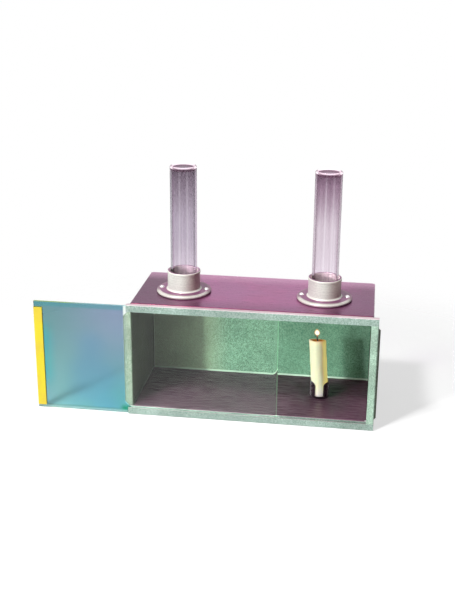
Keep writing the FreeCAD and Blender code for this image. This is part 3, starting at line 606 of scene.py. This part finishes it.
def finish_mesh(name, bm, material, angle=32):
    """Turn a bmesh into a smooth-shaded object at the origin with one material."""
    bmesh.ops.remove_doubles(bm, verts=bm.verts, dist=1e-7)
    bmesh.ops.recalc_face_normals(bm, faces=bm.faces)
    mesh = bpy.data.meshes.new(name)
    bm.to_mesh(mesh)
    bm.free()
    mesh.shade_smooth()
    mesh.set_sharp_from_angle(angle=math.radians(angle))
    mesh.materials.append(material)
    piece = bpy.data.objects.new(name, mesh)
    bpy.context.scene.collection.objects.link(piece)
    return piece


def as_drawn(spot, angle):
    """The point of an outline where it was drawn, at every angle."""
    return spot


def lathe(name, outline, centre, material, steps=128, shift=as_drawn, closed=True):
    """Turn an outline of radius and height, in millimetres, about an upright line through centre.

    shift moves a point of the outline by the angle it is at, so that a turned piece needn't be perfect.
    """
    bm = bmesh.new()
    rings = []
    for spot in outline:
        if spot[0] < 1e-6:
            rings.append([bm.verts.new(centre + Vector((0, 0, spot[1])) * MM)])
            continue
        ring = []
        for step in range(steps):
            angle = 2 * math.pi * step / steps
            radius, height = shift(spot, angle)
            offset = Vector((radius * math.cos(angle), radius * math.sin(angle), height))
            ring.append(bm.verts.new(centre + offset * MM))
        rings.append(ring)
    pairs = list(zip(rings, rings[1:] + rings[:1])) if closed else list(zip(rings, rings[1:]))
    for first, second in pairs:
        for step in range(steps):
            after = (step + 1) % steps
            if len(first) == 1 and len(second) == 1:
                break
            if len(first) == 1:
                bm.faces.new((first[0], second[step], second[after]))
            elif len(second) == 1:
                bm.faces.new((first[step], first[after], second[0]))
            else:
                bm.faces.new((first[step], first[after], second[after], second[step]))
    return finish_mesh(name, bm, material)


def arc(centre, radius, start, end, steps=8):
    """Points of an outline along an arc, by its angles in degrees."""
    points = []
    for step in range(steps + 1):
        angle = math.radians(start + (end - start) * step / steps)
        points.append((centre[0] + radius * math.cos(angle), centre[1] + radius * math.sin(angle)))
    return points


def dress(node, material):
    """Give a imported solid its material."""
    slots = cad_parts[node].data.materials
    slots.clear()
    slots.append(material)


# Sheet metal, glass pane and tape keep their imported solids

lid_material = purple_lid()
floor_material = purple_floor()
# The clip's near-black colours are painted shade: the dark inside of the box reflected in its aluminium.
clip_material = small_part_metal("clip_aluminium", (0.13, 0.09, 0.11), (0.05, 0.03, 0.045), 0.30,
                                 flank_highlight=(0.80, 0.74, 0.78))
rivet_material = small_part_metal("rivet_aluminium", (0.92, 0.90, 0.91), (0.74, 0.70, 0.72), 0.24)
for node, material in {
    "top_panel": lid_material, "floor_panel": floor_material, "back_panel": back_sheet,
    "left_wall": wall_sheet, "right_wall": wall_sheet, "upper_channel": mint_sheet,
    "lower_channel": mint_sheet, "end_channel": end_sheet, "glass_pane": pane_glass(),
    "edge_tape": yellow_tape(), "candle_clip": clip_material, "clip_rivet": rivet_material,
}.items():
    dress(node, material)


# Chimneys

TUBE_WALL = 1.8
MOUTH_BEAD = 1.4
FOOT_BEVEL = 0.3
# The mauve tints of each tube at its foot, middle and mouth: painted coloured light, darkening upwards as painted
# shade.
TUBE_PAINTED_TINTS = {
    "left": ((0.92, 0.86, 0.92), (0.72, 0.67, 0.74), (0.45, 0.39, 0.45)),
    "right": ((0.97, 0.92, 0.97), (0.88, 0.82, 0.87), (0.51, 0.39, 0.48)),
}
# Each tube's left and right edge colours: painted reflections of dark and coloured surroundings.
TUBE_EDGE_REFLECTIONS = {
    "left": ((0.20, 0.22, 0.23), (0.50, 0.34, 0.48)),
    "right": ((0.46, 0.34, 0.43), (0.27, 0.21, 0.25)),
}


def make_chimney(side):
    """A glass tube with a fire-polished mouth, thicker inwards, and a ground foot."""
    low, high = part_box(f"{side}_chimney")
    centre = Vector((COLLARS[side].x, COLLARS[side].y, low.z))
    length = (high.z - low.z) / MM
    outer = (high.x - low.x) / 2 / MM
    inner = outer - TUBE_WALL
    thicker = 2 * MOUTH_BEAD - TUBE_WALL
    neck = 270 - math.degrees(math.asin((MOUTH_BEAD - thicker) / MOUTH_BEAD))
    mouth = arc((outer - MOUTH_BEAD, length - MOUTH_BEAD), MOUTH_BEAD, 0, neck, 18)
    outline = [(inner + FOOT_BEVEL, 0.0), (outer - FOOT_BEVEL, 0.0), (outer, FOOT_BEVEL), (outer, length / 2),
               *mouth, (inner, length / 2), (inner, FOOT_BEVEL)]
    glass = chimney_glass(f"{side}_chimney_glass", centre, low.z, high.z, TUBE_PAINTED_TINTS[side], TUBE_EDGE_REFLECTIONS[side])
    piece = lathe(f"{side}_chimney_tube", outline, centre, glass, steps=160)
    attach(piece, f"{side}_chimney")
    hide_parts(f"{side}_chimney")


# Collars and their rivets

def make_collar(side):
    """A collar: full-round flange edge, swept root, a turned step under its mouth and rounded lips."""
    foot, mouth = (corner.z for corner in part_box(f"{side}_collar"))
    height = (mouth - foot) / MM
    centre = Vector((COLLARS[side].x, COLLARS[side].y, foot))
    bore, socket, flange, thick = 14.8, 17.6, 29.2, 3.5
    neck = socket - 0.3
    outline = [
        (bore, 0.0), (flange - 1.5, 0.0),
        *arc((flange - 1.7, 1.75), 1.7, -80, 80, 10),
        (flange - 2.6, thick), (flange - 6.0, thick - 0.15), (neck + 4.0, thick - 0.1),
        *arc((neck + 2.6, thick + 2.4), 2.5, 265, 180, 8),
        (neck, height - 3.3), *arc((neck + 0.02, height - 2.9), 0.28, -60, 10, 3),
        (socket, height - 2.5),
        *arc((socket - 1.0, height - 1.0), 1.0, 0, 90, 6),
        *arc((bore + 0.8, height - 0.8), 0.8, 90, 180, 6),
        (bore, height - 8.0),
    ]

    def hand_worked(spot, angle):
        radius, rise = spot
        wobble = 0.10 * math.sin(2 * angle + 0.7) + 0.06 * math.sin(5 * angle + 2.0)
        if radius > 24:
            return radius - 0.1 + 0.1 * math.sin(3 * angle + 1.1), rise + (0.12 * wobble if rise > 1 else 0.0)
        return radius, rise + (0.5 * wobble - 0.1 if rise > height - 4 else 0.0)

    piece = lathe(f"{side}_collar_casting", outline, centre,
                  collar_aluminium(f"{side}_collar_aluminium", tuple(centre)), shift=hand_worked)
    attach(piece, "box")
    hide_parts(f"{side}_collar")


def geometry_tree(name, inputs):
    """Start a geometry tree whose inputs are given as name, socket kind and default."""
    tree = bpy.data.node_groups.new(name, "GeometryNodeTree")
    tree.interface.new_socket("Geometry", in_out="INPUT", socket_type="NodeSocketGeometry")
    for socket_name, (kind, default) in inputs.items():
        socket = tree.interface.new_socket(socket_name, in_out="INPUT", socket_type=f"NodeSocket{kind}")
        if default is not None:
            socket.default_value = default
    tree.interface.new_socket("Geometry", in_out="OUTPUT", socket_type="NodeSocketGeometry")
    return tree, tree.nodes.new("NodeGroupInput").outputs, tree.nodes.new("NodeGroupOutput").inputs


def finish_tree(tree, result, geometry, material):
    """End a tree in real geometry with its material."""
    real = add(tree, "GeometryNodeRealizeInstances", {"Geometry": geometry}).outputs[0]
    dressed = add(tree, "GeometryNodeSetMaterial", {"Geometry": real, "Material": material}).outputs[0]
    feed(tree, result["Geometry"], dressed)


def run_tree(name, source, tree, values):
    """Run a geometry tree on a mesh, and keep what it makes as a bmesh and its material."""
    holder = bpy.data.objects.new(f"{name}_source", source)
    bpy.context.scene.collection.objects.link(holder)
    modifier = holder.modifiers.new(name, "NODES")
    modifier.node_group = tree
    for item in tree.interface.items_tree:
        if item.name in values:
            modifier[item.identifier] = values[item.name]
    depsgraph = bpy.context.evaluated_depsgraph_get()
    made = bpy.data.meshes.new_from_object(holder.evaluated_get(depsgraph))
    bm = bmesh.new()
    bm.from_mesh(made)
    holder.modifiers.remove(modifier)
    bpy.data.objects.remove(holder)
    return bm


def build_rivet_tree():
    """Turn the given profile into a rivet, and set one at each end of a line across each collar's flange."""
    tree, given, result = geometry_tree("rivets_on_flanges", {
        "Steps": ("Int", 40), "Profile points": ("Int", 12), "First collar": ("Vector", (0.0, 0.0, 0.0)),
        "Collar pitch": ("Float", 0.15), "Rivet reach": ("Float", 0.024), "Finish": ("Material", None),
    })
    columns = maths(tree, "ADD", given["Steps"], 1.0)
    grid = add(tree, "GeometryNodeMeshGrid", {"Size X": 1.0, "Size Y": 1.0, "Vertices X": columns,
                                              "Vertices Y": given["Profile points"]}).outputs["Mesh"]
    place = split(tree, add(tree, "GeometryNodeInputPosition").outputs[0])
    turn = maths(tree, "MULTIPLY", maths(tree, "ADD", place["X"], 0.5), 2 * math.pi)
    last = maths(tree, "SUBTRACT", given["Profile points"], 1.0)
    row = maths(tree, "ROUND", maths(tree, "MULTIPLY", maths(tree, "ADD", place["Y"], 0.5), last))
    sample = add(tree, "GeometryNodeSampleIndex", data_type="FLOAT_VECTOR", domain="POINT")
    feed(tree, sample.inputs["Geometry"], given["Geometry"])
    feed(tree, sample.inputs["Value"], add(tree, "GeometryNodeInputPosition").outputs[0])
    feed(tree, sample.inputs["Index"], row)
    drawn = split(tree, sample.outputs[0])
    turned = add(tree, "ShaderNodeCombineXYZ", {0: maths(tree, "MULTIPLY", drawn["X"], maths(tree, "COSINE", turn)),
                                                1: maths(tree, "MULTIPLY", drawn["X"], maths(tree, "SINE", turn)),
                                                2: drawn["Z"]}).outputs[0]
    shell = add(tree, "GeometryNodeSetPosition", {"Geometry": grid, "Position": turned}).outputs[0]
    rivet = add(tree, "GeometryNodeMergeByDistance", {"Geometry": shell, "Distance": 1e-6}).outputs[0]
    pitch = add(tree, "ShaderNodeCombineXYZ", {0: given["Collar pitch"]}).outputs[0]
    collars = add(tree, "GeometryNodeMeshLine", {"Count": 2, "Start Location": given["First collar"], "Offset": pitch})
    back = add(tree, "ShaderNodeCombineXYZ", {0: maths(tree, "MULTIPLY", given["Rivet reach"], -1.0)}).outputs[0]
    apart = add(tree, "ShaderNodeCombineXYZ", {0: maths(tree, "MULTIPLY", given["Rivet reach"], 2.0)}).outputs[0]
    ends = add(tree, "GeometryNodeMeshLine", {"Count": 2, "Start Location": back, "Offset": apart})
    places = add(tree, "GeometryNodeInstanceOnPoints", {"Points": collars.outputs[0], "Instance": ends.outputs[0]})
    spots = add(tree, "GeometryNodeRealizeInstances", {"Geometry": places.outputs[0]}).outputs[0]
    rivets = add(tree, "GeometryNodeInstanceOnPoints", {"Points": spots, "Instance": rivet}).outputs[0]
    finish_tree(tree, result, rivets, given["Finish"])
    return tree


RIVET_NODES = [f"{side}_collar_{place}_rivet" for side in ("left", "right") for place in ("left", "right")]
RIVET_DOME = 1.9
RIVET_SHANK = 1.6
RIVET_TAIL = 1.0


def make_collar_rivets():
    """Four set rivets: domed heads flattened by the setting tool, and chamfered tails under the lid."""
    low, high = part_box(RIVET_NODES[0])
    head = (high.x - low.x) / 2 / MM
    crown = (high.z - LID_TOP) / MM
    tail = (low.z - LID_TOP) / MM
    seat = crown - RIVET_DOME
    dome = (head ** 2 + RIVET_DOME ** 2) / (2 * RIVET_DOME)
    half = math.degrees(math.asin(head / dome))
    profile = [(0.0, tail), (head - 0.4, tail), (head, tail + 0.35), (head, tail + RIVET_TAIL),
               (RIVET_SHANK, tail + RIVET_TAIL), (RIVET_SHANK, seat),
               *arc((0.0, crown - dome), dome, 90 - half, 84, 9), (0.0, crown - 0.02)]
    source = bpy.data.meshes.new("rivet_profile")
    source.from_pydata([(x * MM, 0.0, z * MM) for x, z in profile],
                       [(index, index + 1) for index in range(len(profile) - 1)], [])
    first = middle(RIVET_NODES[0])
    second = middle(RIVET_NODES[1])
    reach = (second.x - first.x) / 2
    bm = run_tree("collar_rivets_set", source, build_rivet_tree(), {
        "Profile points": len(profile), "First collar": (first.x + reach, first.y, LID_TOP),
        "Collar pitch": COLLARS["right"].x - COLLARS["left"].x, "Rivet reach": reach, "Finish": rivet_material,
    })
    piece = finish_mesh("collar_rivets_set", bm, rivet_material)
    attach(piece, "box")
    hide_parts(*RIVET_NODES)


for side in ("left", "right"):
    make_chimney(side)
    make_collar(side)
make_collar_rivets()


# Candle, wick and flame

def lean_over(piece):
    """Lean a piece to the left above the clip, as the candle does."""
    for vertex in piece.data.vertices:
        vertex.co.x -= LEAN * max(0.0, vertex.co.z - LEAN_START)


def make_candle():
    """The wax, with a rim melted down at the back and notched at the front, and a soft waist at its foot."""
    low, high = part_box("candle")
    centre = Vector((CANDLE.x, CANDLE.y, CANDLE_FOOT))
    top = (CANDLE_TOP - CANDLE_FOOT) / MM
    radius = (high.x - low.x) / 2 / MM
    outline = [(3.1, 0.0), (radius - 3.0, 0.0), (radius - 1.8, 0.7), (radius - 0.6, 2.1), (radius - 0.2, 3.4)]
    outline += [(radius - 0.15 + 0.1 * math.sin(0.35 * z), float(z)) for z in range(6, int(top) - 5, 4)]
    outline += [(radius - 0.1, top - 5.0), (radius - 0.02, top - 2.6)]
    outline += arc((radius - 1.1, top - 1.1), 1.08, 0, 90, 6)
    outline += [(7.3, top - 0.9), (6.2, top - 2.2), (4.4, top - 3.5), (2.4, top - 4.2), (0.95, top - 4.1),
                (0.95, 1.0), (3.1, 1.0)]

    def melted(spot, angle):
        out, rise = spot
        if rise > top - 6 and out > 2:
            near = max(0.0, 1 - (top - rise) / 6)
            front = math.exp(-((angle - math.radians(246)) / 0.26) ** 2)
            back = ((1 + math.sin(angle)) / 2) ** 1.3
            dip = near * (0.7 * front + 4.3 * back + 0.2 * (1 + math.sin(3 * angle + 0.6)) / 2)
            return out, rise - dip
        if 5 < rise <= top - 6 and out > 8:
            return out - 0.06 * (1 + math.sin(4 * angle + rise * 0.12)), rise
        return out, rise

    piece = lathe("candle_wax_stick", outline, centre, candle_wax(), steps=96, shift=melted)
    lean_over(piece)
    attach(piece, "candle")
    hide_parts("candle")


def build_wick_tree():
    """Twist strands of thread into one wick."""
    tree, given, result = geometry_tree("twisted_wick", {
        "Length": ("Float", 0.065), "Strands": ("Int", 3), "Twist radius": ("Float", 0.0004),
        "Strand radius": ("Float", 0.00042), "Turns": ("Float", 14.0), "Finish": ("Material", None),
    })
    path = add(tree, "GeometryNodeCurveSpiral", {"Resolution": 14, "Rotations": given["Turns"],
                                                 "Start Radius": given["Twist radius"],
                                                 "End Radius": given["Twist radius"],
                                                 "Height": given["Length"]}).outputs[0]
    section = add(tree, "GeometryNodeCurvePrimitiveCircle", {"Resolution": 8, "Radius": given["Strand radius"]})
    strand = add(tree, "GeometryNodeCurveToMesh", {"Curve": path, "Profile Curve": section.outputs[0],
                                                   "Fill Caps": True}).outputs[0]
    spots = add(tree, "GeometryNodeMeshLine", {"Count": given["Strands"], "Offset": (0.0, 0.0, 0.0)}).outputs[0]
    share = maths(tree, "DIVIDE", add(tree, "GeometryNodeInputIndex").outputs[0], given["Strands"])
    turn = add(tree, "ShaderNodeCombineXYZ", {2: maths(tree, "MULTIPLY", share, 2 * math.pi)}).outputs[0]
    twisted = add(tree, "GeometryNodeInstanceOnPoints", {"Points": spots, "Instance": strand, "Rotation": turn})
    finish_tree(tree, result, twisted.outputs[0], given["Finish"])
    return tree


def make_wick():
    """A charred wick of twisted strands that stands up out of the melted dish."""
    low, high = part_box("wick")
    material = charred_wick()
    length = high.z - low.z - 1.2 * MM
    bm = run_tree("charred_wick_end", bpy.data.meshes.new("wick_seed"), build_wick_tree(),
                  {"Length": length, "Finish": material})
    bmesh.ops.translate(bm, verts=bm.verts, vec=Vector((CANDLE.x, CANDLE.y, low.z + 0.6 * MM)))
    piece = finish_mesh("charred_wick_end", bm, material, angle=60)
    lean_over(piece)
    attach(piece, "candle")
    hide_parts("wick")


def make_flame(name, width, low, high, material):
    """A short round flame, or one of its outer skins, over the wick's tip."""
    centre = Vector((CANDLE.x, CANDLE.y, CANDLE_TOP))
    outline = [(0.0, low)]
    for step in range(1, 14):
        share = step / 14
        outline.append((width / 2 * math.sin(math.pi * share ** 0.85) ** 0.8, low + (high - low) * share))
    outline.append((0.0, high))
    piece = lathe(name, outline, centre, material, steps=32, closed=False)
    lean_over(piece)
    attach(piece, "candle")


make_candle()
make_wick()
make_flame("flame", 4.3, 3.4, 9.0, glowing("flame_core", (1.0, 0.99, 0.93), 2.4))
make_flame("flame_mantle", 5.3, 3.0, 9.8, glowing("flame_mantle", (1.0, 0.66, 0.22), 1.0, 0.45))
make_flame("flame_skin", 6.4, 2.6, 10.8, glowing("flame_skin", (1.0, 0.42, 0.14), 0.9, 0.22))


# Stage: pale floor, white surroundings, soft lamps and the camera

def seen_directly(tree):
    """1 for what the eye, a mirror or clear glass looks at, and 0 for light that falls on things."""
    path = add(tree, "ShaderNodeLightPath").outputs
    mirrored = maths(tree, "MAXIMUM", path["Is Glossy Ray"], path["Is Transmission Ray"])
    unscattered = maths(tree, "LESS_THAN", path["Diffuse Depth"], 0.5)
    mirrored = maths(tree, "MULTIPLY", mirrored, unscattered)
    return maths(tree, "MAXIMUM", path["Is Camera Ray"], mirrored)


def make_floor(lift):
    """A pale table that fades into the white surroundings away from the object.

    lift is what the eye, a mirror or clear glass sees added to it, so that it looks white where it is lit.
    """
    bm = bmesh.new()
    bmesh.ops.create_circle(bm, cap_ends=True, radius=2.4, segments=96)
    mesh = bpy.data.meshes.new("table")
    bm.to_mesh(mesh)
    bm.free()
    table = bpy.data.objects.new("table", mesh)
    bpy.context.scene.collection.objects.link(table)
    material, tree, shader = new_material("pale_table", Roughness=0.7, Specular_IOR_Level=0.1)
    where = place_on_piece(tree)
    fleck = noise(tree, where, 40.0)
    feed(tree, shader.inputs["Base Color"], blend_colour(tree, fleck, rgb(0.49, 0.49, 0.49), rgb(0.51, 0.51, 0.51)))
    white = add(tree, "ShaderNodeEmission", {"Strength": maths(tree, "MULTIPLY", seen_directly(tree), lift)})
    lifted = add(tree, "ShaderNodeAddShader", {0: shader.outputs[0], 1: white.outputs[0]})
    distance = add(tree, "ShaderNodeVectorMath", {0: where}, operation="LENGTH").outputs["Value"]
    clear = add(tree, "ShaderNodeBsdfTransparent")
    away = fade(tree, distance, 0.28, 0.52)
    mixed = add(tree, "ShaderNodeMixShader", {0: away, 1: lifted.outputs[0], 2: clear.outputs[0]})
    tree.links.new(mixed.outputs[0], tree.nodes["Material Output"].inputs["Surface"])
    mesh.materials.append(material)


def make_surroundings(fill):
    """White to look at; a softer white light to fall on the object."""
    world = bpy.data.worlds.new("white_surroundings")
    bpy.context.scene.world = world
    world.use_nodes = True
    tree = world.node_tree
    background = tree.nodes["Background"]
    background.inputs["Color"].default_value = rgb(1.0, 1.0, 1.0)
    seen = seen_directly(tree)
    feed(tree, background.inputs["Strength"], fade(tree, seen, 0.0, 1.0, fill, 1.0))


def make_lamp(name, aim, left, up, distance, width, height, power, mirrored=True):
    """A soft rectangular lamp aimed at a point, placed by its angles from the front of the object."""
    light = bpy.data.lights.new(name, "AREA")
    light.shape = "RECTANGLE"
    light.size = width
    light.size_y = height
    light.energy = power
    lamp = bpy.data.objects.new(name, light)
    bpy.context.scene.collection.objects.link(lamp)
    left, up = math.radians(left), math.radians(up)
    towards = Vector((-math.sin(left) * math.cos(up), -math.cos(left) * math.cos(up), math.sin(up)))
    lamp.location = Vector(aim) + towards * distance
    lamp.rotation_euler = (-towards).to_track_quat("-Z", "Y").to_euler()
    lamp.visible_camera = False
    lamp.visible_glossy = mirrored


def make_camera(place, yaw, drop, roll, focal, centre):
    """The photograph's camera: angles in radians, focal length and centre in its pixels."""
    forward = Vector((math.sin(yaw) * math.cos(drop), math.cos(yaw) * math.cos(drop), -math.sin(drop)))
    level = Vector((math.cos(yaw), -math.sin(yaw), 0.0))
    down = forward.cross(level)
    right = math.cos(roll) * level + math.sin(roll) * down
    lower = math.cos(roll) * down - math.sin(roll) * level
    camera_data = bpy.data.cameras.new("camera")
    camera_data.sensor_fit = "AUTO"
    camera_data.sensor_width = 36.0
    camera_data.lens = focal * 36.0 / 600
    camera_data.shift_x = (455 / 2 - centre[0]) / 600
    camera_data.shift_y = (centre[1] - 600 / 2) / 600
    camera_data.clip_start = 0.01
    camera = bpy.data.objects.new("camera", camera_data)
    bpy.context.scene.collection.objects.link(camera)
    turned = Matrix((right, -lower, -forward)).transposed().to_4x4()
    camera.matrix_world = Matrix.Translation(Vector(place)) @ turned
    bpy.context.scene.camera = camera


make_floor(0.64)
make_surroundings(0.05)
# Two lamps at the photograph's shadow angles: a high one, and a low one that reaches into the box
KEY_SIDE = 34.6
make_lamp("high_lamp", (0.0, 0.05, 0.06), KEY_SIDE, 55.0, 1.5, 0.2, 0.2, 16.0)
make_lamp("low_lamp", (0.0, 0.05, 0.06), KEY_SIDE, 14.5, 1.5, 0.12, 0.16, 15.0, mirrored=False)
make_lamp("overhead_lamp", (0.0, 0.05, 0.1), 0.0, 84.0, 1.3, 1.0, 0.8, 1.5)
make_camera((0.11518, -0.97119, 0.48718), -0.1406, 0.3298, -0.0079, 1024.94, (228.15, 284.35))

scene = bpy.context.scene
scene.view_settings.view_transform = "Standard"
